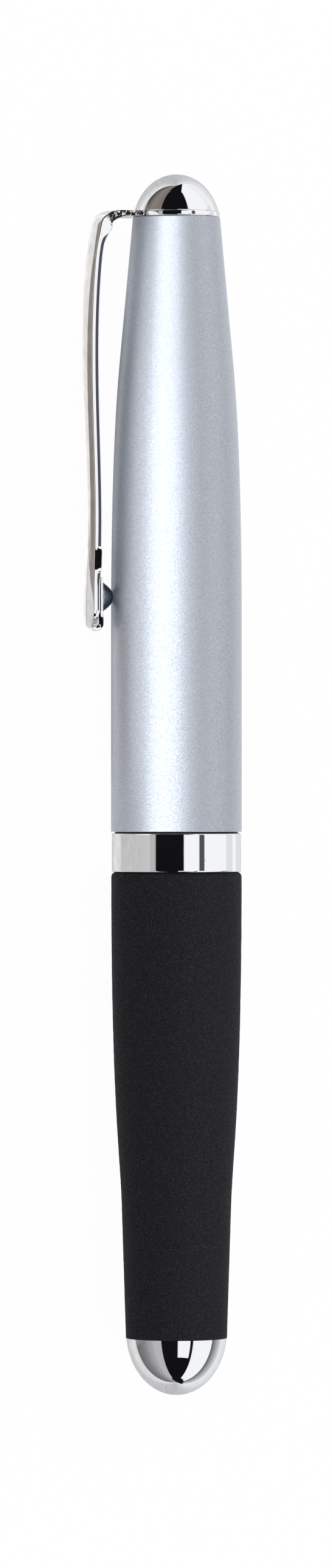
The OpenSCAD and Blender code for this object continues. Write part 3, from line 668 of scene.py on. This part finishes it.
# Spring clip: one stamping of sheet steel, chrome plated. A pierced ring sits under the finial, the neck
# bends down between flanges that stiffen the corner, and the bowed arm ends in a paddle that is folded
# back on itself. A dimple pressed into the folded tongue bears on the cap.
clip_hinge = next(joint for joint in frame["joints"] if joint["name"] == "clip_flex")
clip_across = np.array(clip_hinge["axis"], float)
clip_outward = np.array([0.0, -clip_across[2], clip_across[1]])
clip_tip, clip_top = reach("clip_arm")[:2]
clip_t = clip_top - cap_top
clip_ring_r = 3.72
clip_neck_r = 6.0
clip_bend = 1.2
clip_bend_angle = math.radians(81)
clip_bow, clip_draw_in = 8, 7
clip_waist = clip_tip + 9.7
clip_gap = 1.7
outer_corner, land_corner, inner_corner = 0.06, 0.04, 0.05
land_lean, land_foot, inner_lean = 0.015, 0.02, 0.065
bend_flange, arm_flange, pad_flange = 0.55, 0.2, 0.06
flange_root, flange_turn, flange_fade = 0.8, 0.4, 1.2
flange_in, flange_in_run, flange_out, flange_out_run, flange_arm_run = -1.1, 1.6, 1.3, 2.2, 2
twist_low, twist_high, twist_run = clip_tip + 4.9, clip_tip + 7.2, 0.5
edge_twist, pad_twist, twist_curve = 0.21, 0.04, 1.5
neck_half, waist_half, pad_half, tongue_half, fold_half = 2.15, 1.5, 2.1, 1.5, 0.9
bend_crown, arm_crown, crown_drop = 0.3, 0.2, 0.12
crown_start, crown_run = -0.5, 1.2
pad_run, pad_ease, pad_start, pad_start_run = 1.9, 2.5, twist_low + 0.4, 1.6
fold_gap, fold_flat, fold_round = 0.2, 0.3, 1.4
tongue_top = clip_tip + 4.6
tongue_close, tongue_ease = 0.15, 1.2
dimple_x = clip_tip + 2.9
dimple_depth = 0.95
dimple_root, dimple_root_across, dimple_end, dimple_fall = 1.45, 1.12, 0.45, 1.35
dimple_touch = 0.05
mottle_end, mottle_run, dimple_rim = 0.3, 0.7, 0.25


def ease(t):
    """Soft step from 0 to 1 with level ends."""
    t = np.clip(t, 0, 1)
    return t * t * (3 - 2 * t)


def rounded_in(full, from_fold):
    """Half width of the sheet at a distance along it from the fold, where its corners round in to the
    narrow fold as a parabola."""
    t = 1 - np.clip((from_fold - fold_flat) / fold_round, 0, 1)
    return fold_half + (full - fold_half) * (1 - t * t)


plate = cap_top + clip_t / 2
fold_r = (clip_t + fold_gap) / 2
fold_x = clip_tip + clip_t / 2 + fold_r
half_fold = np.pi * fold_r / 2
tongue_r = float(cap_radius(dimple_x)) + dimple_touch + dimple_depth + clip_t / 2
pad_r = tongue_r + 2 * fold_r
waist_r = float(cap_radius(clip_waist)) + clip_gap + clip_t / 2
pad_top = fold_x + pad_run

neck_s = np.linspace(0, 1, 14, endpoint=False)
bend_q = np.linspace(0, clip_bend_angle, 32)
arm_s = np.linspace(0, 1, 120)[1:]
pad_s = np.linspace(0, 1, 44)[1:]
end_x = np.linspace(pad_top, fold_x, 20)[1:]
fold_q = np.linspace(0, np.pi, 30)[1:]
tongue_x = np.linspace(fold_x, tongue_top, 48)[1:]
bend_rows = len(neck_s) + len(bend_q)
back_rows = len(fold_q) + len(tongue_x)
neck_r = clip_ring_r + (clip_neck_r - clip_ring_r) * neck_s
neck_path = np.stack([neck_r, np.full(len(neck_s), plate)], -1)
bend_path = np.stack([clip_neck_r + clip_bend * np.sin(bend_q),
                      plate - clip_bend + clip_bend * np.cos(bend_q)], -1)
arm_lead = clip_bow * np.array([math.cos(clip_bend_angle), -math.sin(clip_bend_angle)])
arm_path = bezier([bend_path[-1], bend_path[-1] + arm_lead, [waist_r, clip_waist + clip_draw_in],
                   [waist_r, clip_waist]], len(arm_s) + 1)[1:]
pad_path = bezier([[waist_r, clip_waist], [waist_r, clip_waist - pad_ease], [pad_r, pad_top + pad_ease],
                   [pad_r, pad_top]], len(pad_s) + 1)[1:]
end_path = np.stack([np.full(len(end_x), pad_r), end_x], -1)
fold_path = np.stack([pad_r - fold_r + fold_r * np.cos(fold_q), fold_x - fold_r * np.sin(fold_q)], -1)
tongue_path = np.stack([tongue_r + tongue_close * ease((tongue_x - fold_x) / tongue_ease), tongue_x], -1)
clip_path = np.vstack([neck_path, bend_path, arm_path, pad_path, end_path, fold_path, tongue_path])
clip_half = np.r_[
    np.full(bend_rows, neck_half), neck_half + (waist_half - neck_half) * ease(arm_s),
    waist_half + (pad_half - waist_half) * ease(pad_s), rounded_in(pad_half, end_x - fold_x + half_fold),
    rounded_in(pad_half + (tongue_half - pad_half) * fold_q / np.pi, np.abs(fold_r * (fold_q - np.pi / 2))),
    rounded_in(tongue_half, tongue_x - fold_x + half_fold)]
clip_crown = np.r_[
    np.full(bend_rows, bend_crown), bend_crown + (arm_crown - bend_crown) * ease(arm_s / crown_drop),
    arm_crown * (1 - ease(pad_s)), np.zeros(len(end_x) + back_rows)]
clip_on_neck = np.r_[1 - neck_s, np.zeros(len(clip_path) - len(neck_s))]
clip_on_face = np.r_[np.ones(len(clip_path) - back_rows), np.zeros(back_rows)]
clip_on_tongue = np.r_[np.zeros(len(clip_path) - len(tongue_x)), np.ones(len(tongue_x))]

clip_run = np.r_[0, np.cumsum(np.linalg.norm(np.diff(clip_path, axis=0), axis=1))]
clip_run -= clip_run[len(neck_s)]
clip_crown *= ease((clip_run - crown_start) / crown_run)
clip_x = clip_path[:, 1]
bend_share = ease((clip_run - flange_in) / flange_in_run)
bend_share *= 1 - ease((clip_run - flange_out) / flange_out_run)
pad_share = ease((pad_start - clip_x) / pad_start_run)
clip_flange = arm_flange * ease(clip_run / flange_arm_run) + bend_share * bend_flange
clip_flange += pad_share * (pad_flange - arm_flange)
clip_flange *= clip_on_face * ease((clip_x - fold_x) / flange_fade)
clip_twist = edge_twist * ease((clip_x - twist_low) / twist_run) * ease((twist_high - clip_x) / twist_run)
clip_twist = clip_on_face * (clip_twist + pad_twist * pad_share)
face = np.linspace(-1, 1, 25)
sheet_top, sheet_under = np.full(len(face), clip_t / 2), np.full(len(face), -clip_t / 2)
edge_inset = 0.5
edge = softened([[edge_inset, clip_t / 2], [0, clip_t / 2], [land_lean, land_foot],
                 [land_lean + inner_lean, -clip_t / 2], [edge_inset, -clip_t / 2]],
                [0, outer_corner, land_corner, inner_corner, 0])[1:-1]
clip_up = np.r_[sheet_top, edge[:, 1], sheet_under, edge[::-1, 1]]
clip_loop = np.tile(np.r_[np.zeros(len(face)), np.ones(len(edge))], 2)
clip_under = np.clip(0.5 - clip_up / clip_t, 0, 1)
clip_w = np.hstack([face * (clip_half[:, None] - edge[0, 0]), clip_half[:, None] - edge[:, 0],
                    -face * (clip_half[:, None] - edge[-1, 0]), edge[::-1, 0] - clip_half[:, None]])
clip_w += np.sign(clip_w) * clip_loop * clip_under ** twist_curve * clip_twist[:, None]


def pressed():
    """Share of the dimple's depth over the sheet: 1 on its flat end, falling off as a blunt cone to 0 at
    its oval root, and only on the tongue."""
    from_dimple = np.hypot(clip_w * dimple_root / dimple_root_across, clip_x[:, None] - dimple_x)
    t = np.clip((from_dimple - dimple_end) / (dimple_root - dimple_end), 0, 1)
    return clip_on_tongue[:, None] * (1 - t ** dimple_fall)


def swept_sheet():
    """Rings of the sheet along the clip's path. A point at width w and height h of the section sits at
    path + outward (h - crown (w / half)^2 - flange + dent) + across w; outward is square to the path, the
    flange lowers the inner side near the edges, and the neck's first rows follow the ring's round edge."""
    ahead = np.gradient(clip_path, axis=0)
    ahead /= np.linalg.norm(ahead, axis=1)[:, None]
    out = np.stack([-ahead[:, 1], ahead[:, 0]], -1)
    half = clip_half[:, None]
    turned_in = clip_under * ease((np.abs(clip_w) - half + flange_root) / flange_turn)
    lift = clip_up - clip_crown[:, None] * (clip_w / half) ** 2 - clip_flange[:, None] * turned_in
    lift = lift + (dimple_depth + tongue_close) * pressed()
    place = clip_path[:, None] + out[:, None] * lift[..., None]
    round_edge = np.sqrt(clip_ring_r ** 2 - np.minimum(clip_w ** 2, neck_half ** 2)) - clip_ring_r
    r = place[..., 0] + clip_on_neck[:, None] * round_edge
    return place[..., 1, None] * [1, 0, 0] + r[..., None] * clip_outward + clip_w[..., None] * clip_across


clip_rings = swept_sheet()
clip_ends = np.array([clip_rings[0].mean(0), clip_rings[-1].mean(0)])
ring_section = softened([[cap_top, cap_hole], [cap_top, clip_ring_r], [clip_top, clip_ring_r],
                         [clip_top, cap_hole]], 0.1)
clip_plate, tree, shader = finish("clip_chrome_plate", Metallic=1.0)
clip_film = wire(tree, "Group", {}, node_tree=plating).outputs
# The edges of the neck and of the start of the bend are mottled dark brown, rougher and with a fine bump.
clip_neck_edges = wire(tree, "Attribute", {}, attribute_name="neck_edge_mottle").outputs["Fac"]
clip_at = wire(tree, "TexCoord", {}).outputs["Object"]
clip_mottle_noise = wire(tree, "TexNoise", {"Vector": clip_at, "Scale": 5200.0, "Detail": 3.0}).outputs["Fac"]
clip_dark_mottle = wire(tree, "Math", {0: clip_neck_edges, 1: spread(tree, clip_mottle_noise, 0.0, 1.0, 0.4, 0.5)},
                 operation="MULTIPLY").outputs[0]
# Painted shade: the pressed dimple's plating is tinted dark slate.
clip_dimple_shade_mask = wire(tree, "Attribute", {}, attribute_name="dimple_painted_shade").outputs["Fac"]
clip_dimple_shaded = mixed(tree, clip_dimple_shade_mask, clip_film["Color"], (0.1, 0.115, 0.145, 1.0))
clip_tone = mixed(tree, clip_dark_mottle, clip_dimple_shaded, (0.03, 0.022, 0.02, 1.0))
clip_dull = wire(tree, "Mix", {"Factor": clip_dark_mottle, 2: clip_film["Roughness"], 3: 0.4}).outputs[0]
clip_level = wire(tree, "Bump", {"Distance": 1.5e-5, "Height": clip_dark_mottle,
                                 "Normal": raised(tree, clip_film["Height"], 4e-7)}).outputs["Normal"]
tree.links.new(clip_tone, shader["Base Color"])
tree.links.new(clip_dull, shader["Roughness"])
tree.links.new(clip_level, shader["Normal"])
spring_clip = mesh_of("spring_clip", [skin(clip_rings, clip_ends), skin(turned(ring_section))], clip_plate)
clip_marks = {"neck_edge_mottle": np.outer(1 - ease((clip_run - mottle_end) / mottle_run), clip_loop),
              "dimple_painted_shade": ease(pressed() / dimple_rim)}
for mark, share in clip_marks.items():
    values = np.zeros(len(spring_clip.data.vertices), np.float32)
    values[:share.size] = share.ravel()
    spring_clip.data.attributes.new(mark, "FLOAT", "POINT").data.foreach_set("value", values)
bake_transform(spring_clip)
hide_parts("clip_ring", "clip_arm")

# Finial: a turned and chrome plated dome. Its stud goes through the clip's ring, the cap's top and the
# liner's end, and a brass nut inside draws them all together.
finial_low, finial_apex, finial_r = reach("finial")
finial_axis = 4.45
stud_r = 1.5
stud_bevel = 0.15
finial_foot, finial_rim = 0.06, 0.05
finial_outline = np.vstack([[[finial_low, stud_r - stud_bevel], [finial_low + stud_bevel, stud_r],
                             [clip_top, stud_r], [clip_top, finial_r - finial_foot]],
                            dome(clip_top + finial_rim, finial_r, finial_apex, finial_axis, 64)])
finial_rings = turned(finial_outline)
finial_ends = on_axis(finial_low, finial_apex)
mount(mesh_of("domed_finial", [skin(finial_rings, finial_ends)], chrome), "cap", "finial")
coat("finial_nut", brass)

# Table: a plain white sheet that the pen lies on. Mirror reflections see it glow in painted shade instead:
# it is shaded under the cap, has white, beige and tan strips beside the clip, and is greyer along the rest
# of the pen.
table_level = cad_box[0][2]
table_half = 4.0
table_corners = np.array([[-1, -1], [1, -1], [1, 1], [-1, 1]]) * table_half
table_mesh = bpy.data.meshes.new("table")
table_mesh.from_pydata(np.c_[table_corners, np.full(4, table_level)].tolist(), [], [[0, 1, 2, 3]])
table = bpy.data.objects.new("table", table_mesh)
bpy.context.scene.collection.objects.link(table)

table_white = bpy.data.materials.new("white_sheet")
table_white.use_nodes = True
tree = table_white.node_tree
tree.nodes.clear()
table_place = wire(tree, "TexCoord", {}).outputs["Object"]
table_at = wire(tree, "SeparateXYZ", {0: table_place}).outputs
table_across = spread(tree, table_at["Y"], 0.0, 1.0, -40 * mm, 60 * mm)
# Painted shade for mirror reflections: grey bands beside the pen, dark bands under the cap and the tail,
# brown beside the clip.
table_painted_greys = [(0.1, (0.8, 0.815, 0.83)), (0.26, (0.66, 0.675, 0.69)), (0.37, (0.52, 0.53, 0.55)),
               (0.43, (0.6, 0.605, 0.62)), (0.45, (0.79, 0.79, 0.79)), (0.468, (0.79, 0.79, 0.78))]
table_by_tail = ramp(tree, table_across, table_painted_greys + [
    (0.472, (0.16, 0.16, 0.165)), (0.6, (0.36, 0.36, 0.365)), (1.0, (0.5, 0.5, 0.5))])
table_by_band = ramp(tree, table_across, table_painted_greys + [
    (0.472, (0.58, 0.575, 0.57)), (1.0, (0.6, 0.6, 0.595))])
table_open = [(0.54, (0.97, 0.97, 0.98)), (1.0, (1.0, 1.0, 1.0))]
table_side = [(0.45, (0.86, 0.845, 0.83)), (0.46, (0.25, 0.225, 0.2)), (0.51, (0.29, 0.27, 0.25))]
table_shade = [(0.39, (0.12, 0.12, 0.125)), (0.435, (0.12, 0.12, 0.125))]
table_shaded = ramp(tree, table_across, table_painted_greys[:3] + table_shade + table_side + table_open)
table_clear = ramp(tree, table_across, table_painted_greys[:4] + table_side + table_open)
table_by_neck = spread(tree, table_at["X"], 0.0, 1.0, 42 * mm, 48 * mm)
table_far = mixed(tree, table_by_neck, table_shaded, table_clear)
table_painted_tan = ramp(tree, table_across, [(0.51, (0.3, 0.275, 0.26))] + table_open)
face_start, face_end, face_blur = 5 * mm, 8 * mm, 0.1 * mm
table_near = spread(tree, table_at["Y"], 0.0, 1.0, face_start, face_end)
table_past = spread(tree, table_at["Y"], 0.0, 1.0, face_start - face_blur, face_start + face_blur)


def table_face(stops, slant, line, past_line):
    """Painted reflection colour of the table as the clip's face mirrors it: stops across the nearest 3 mm,
    and another colour past a slanted line, where Y and slant times X together reach the line's value, in
    metres."""
    across = wire(tree, "Math", {0: table_at["X"], 1: slant, 2: table_at["Y"]}, operation="MULTIPLY_ADD")
    past = spread(tree, across.outputs[0], 0.0, 1.0, line, line + face_blur)
    lit = mixed(tree, past, ramp(tree, table_near, stops), past_line)
    return mixed(tree, table_past, table_far, lit)


# Painted reflections in the clip's face: a white rim, a thin dark line, a beige face and a tan wedge.
table_by_pad = table_face([
    (0.23, (1.0, 1.0, 1.0)), (0.3, (0.86, 0.86, 0.865)), (0.315, (0.4, 0.38, 0.37)),
    (0.335, (0.72, 0.695, 0.68)), (1.0, (0.68, 0.66, 0.64))], 0.123, 8.96 * mm, table_painted_tan)
table_by_arm = table_face([
    (0.18, (1.0, 1.0, 1.0)), (0.36, (0.84, 0.825, 0.81)), (1.0, (0.78, 0.76, 0.745))],
    -0.03, 5.77 * mm, table_far)
# Painted shade near the finial: dark brown.
table_by_finial = ramp(tree, table_across, table_painted_greys + [
    (0.472, (0.02, 0.018, 0.016)), (0.485, (0.12, 0.11, 0.102)), (0.53, (0.25, 0.225, 0.21)),
    (1.0, (0.2, 0.18, 0.168))])
table_gloss = table_by_tail
stretch_blur = 2
for start, stretch in ((-44, table_by_band), (5, table_by_pad), (25, table_by_arm), (57, table_by_finial)):
    low, high = (start - stretch_blur) * mm, (start + stretch_blur) * mm
    table_gloss = mixed(tree, spread(tree, table_at["X"], 0.0, 1.0, low, high), table_gloss, stretch)
table_fibre = wire(tree, "TexNoise", {"Vector": table_place, "Scale": 700.0, "Detail": 5.0,
                                      "Roughness": 0.7}).outputs["Fac"]
table_gloss = mixed(tree, 1.0, table_gloss, spread(tree, table_fibre, 0.86, 1.14, 0.3, 0.7), "MULTIPLY")
table_ray = wire(tree, "LightPath", {}).outputs["Is Glossy Ray"]
table_lit = wire(tree, "BsdfDiffuse", {"Color": (0.95, 0.95, 0.95, 1.0)}).outputs[0]
table_glow = wire(tree, "Emission", {"Color": (1.0, 1.0, 1.0, 1.0), "Strength": 1.0}).outputs[0]
table_plain = wire(tree, "MixShader", {0: 0.97, 1: table_lit, 2: table_glow}).outputs[0]
# Glossy rays see the table glow in these painted colours.
table_mirrored = wire(tree, "Emission", {"Color": table_gloss, "Strength": 1.0}).outputs[0]
table_shader = wire(tree, "MixShader", {0: table_ray, 1: table_plain, 2: table_mirrored}).outputs[0]
wire(tree, "OutputMaterial", {"Surface": table_shader})
table_mesh.materials.append(table_white)

# Studio: an even white surround for soft light. Mirrors see its parts: a black flag on the camera's side, a
# window-like softbox beside it and a long white panel opposite the clip. Three soft lamps model the cap and
# the sleeve, and reach nothing else.
world = bpy.data.worlds.new("studio")
bpy.context.scene.world = world
world.use_nodes = True
tree = world.node_tree
tree.nodes.clear()
camera_rise = math.radians(48)
white, bright, pale = (1.0, 1.0, 1.0), (0.93, 0.935, 0.95), (0.8, 0.81, 0.83)
grey, black = (0.5, 0.5, 0.5), (0.006, 0.006, 0.008)
studio_ahead = wire(tree, "TexCoord", {}).outputs["Generated"]
studio_way = wire(tree, "SeparateXYZ", {0: studio_ahead}).outputs
studio_angle = wire(tree, "Math", {0: studio_way["Z"], 1: studio_way["Y"]}, operation="ARCTAN2").outputs[0]
studio_turn = spread(tree, studio_angle, 0.0, 1.0, -math.pi, math.pi)
band_blur = 0.2


def surround(*bands):
    """Colour round the pen's axis, in bands with hard edges. A band is the angle it starts at, in degrees
    from +Y towards +Z, its colour there and its colour where the next band starts."""
    ends = [band[0] for band in bands[1:]] + [180]
    stops = [((angle + turned_by + 180) / 360, colour)
             for (start, first, last), end in zip(bands, ends)
             for angle, turned_by, colour in ((start, band_blur, first), (end, -band_blur, last))]
    return ramp(tree, studio_turn, stops)


dusk, haze, slate = (0.1, 0.1, 0.105), (0.62, 0.63, 0.65), (0.075, 0.085, 0.105)
below = ((-180, white, white), (-2, grey, grey))
panel_end = ((88, white, white), (140, dusk, haze), (168, haze, white))
studio_foot = surround((-180, black, black))
studio_tail_far = surround(*below, (12, black, black), *panel_end)
studio_tail_near = surround(*below, (12, black, black), (51, white, white), (81, black, black), *panel_end)
studio_middle = surround(*below, (10, black, black), (61, white, white), (89, slate, slate),
                         (99, white, white), (148, pale, pale), (168, white, white))
studio_cap_side = surround(*below, (1, black, black), (83, white, white), (148, bright, bright))
studio_aside = (0.0, -math.sin(camera_rise), math.cos(camera_rise))
studio_pole_way = wire(tree, "VectorMath", {0: studio_ahead, 1: studio_aside},
                       operation="DOT_PRODUCT").outputs["Value"]
studio_pole = ramp(tree, spread(tree, studio_pole_way, 0.0, 1.0, -1.0, 1.0),
                   [(0.0, (0.13, 0.12, 0.11)), (0.385, black), (0.59, white)], "CONSTANT")
studio_all = studio_foot
zone_blur = 0.005
for start, zone in ((-0.975, studio_tail_far), (-0.62, studio_tail_near), (-0.1, studio_middle),
                    (0.42, studio_cap_side), (0.93, studio_pole)):
    reached = spread(tree, studio_way["X"], 0.0, 1.0, start - zone_blur, start + zone_blur)
    studio_all = mixed(tree, reached, studio_all, zone)
studio_ray = wire(tree, "LightPath", {}).outputs["Is Glossy Ray"]
studio_seen = mixed(tree, studio_ray, (1.0, 1.0, 1.0, 1.0), studio_all)
studio_light = wire(tree, "Background", {"Color": studio_seen, "Strength": 1.0}).outputs[0]
wire(tree, "OutputWorld", {"Surface": studio_light})

lamp_away = 0.7


def lamp(name, along, angle, size, energy, colour, piece):
    """Soft light at a place along the pen's axis and an angle round it, in degrees from +Y towards +Z,
    which reaches only one piece and is shaded only by that piece."""
    angle = math.radians(angle)
    data = bpy.data.lights.new(name, "AREA")
    data.shape = "RECTANGLE"
    data.size, data.size_y = size
    data.energy = energy
    data.color = colour
    made = bpy.data.objects.new(name, data)
    made.location = (along, lamp_away * math.cos(angle), lamp_away * math.sin(angle))
    made.rotation_euler = (angle - math.pi / 2, 0, 0)
    made.visible_camera = False
    bpy.context.scene.collection.objects.link(made)
    made.light_linking.receiver_collection = bpy.data.collections.new(name + "_reaches")
    made.light_linking.blocker_collection = bpy.data.collections.new(name + "_is_shaded_by")
    made.light_linking.receiver_collection.objects.link(piece)
    made.light_linking.blocker_collection.objects.link(piece)


lamp("cap_near_side", 0.1, 24.5, (0.6, 0.88), 5.7, (0.93, 0.97, 1.0), cap_shell)
lamp("cap_far_side", 0.05, 205, (0.6, 0.4), 3.6, (0.97, 0.98, 1.0), cap_shell)
lamp("sleeve_side", 0.0, 95, (0.6, 0.5), 2.8, (0.85, 0.93, 1.0), sleeve)

# Camera: square to the pen's axis, above the clip's side, with the cap end up. A long lens, so that the
# pen fills the height of the tall frame and keeps nearly parallel sides.
camera_away = 770 * mm
frame_half = 67.4 * mm
camera_field = 2 * math.atan(frame_half / camera_away)
camera_aim = np.array([4.1, 0.67, -0.60]) * mm
camera_back = np.array([0.0, math.cos(camera_rise), math.sin(camera_rise)])
camera_data = bpy.data.cameras.new("camera")
camera_data.sensor_width = 36
camera_data.lens = camera_data.sensor_width / 2 / math.tan(camera_field / 2)
camera = bpy.data.objects.new("camera", camera_data)
camera_up = np.array([1.0, 0.0, 0.0])
camera_right = np.cross(camera_up, camera_back)
camera_stand = camera_aim + camera_back * camera_away
camera_place = np.eye(4)
camera_place[:3] = np.stack([camera_right, camera_up, camera_back, camera_stand], 1)
camera.matrix_world = Matrix(camera_place.tolist())
bpy.context.scene.collection.objects.link(camera)
bpy.context.scene.camera = camera
bpy.context.scene.view_settings.view_transform = "Standard"
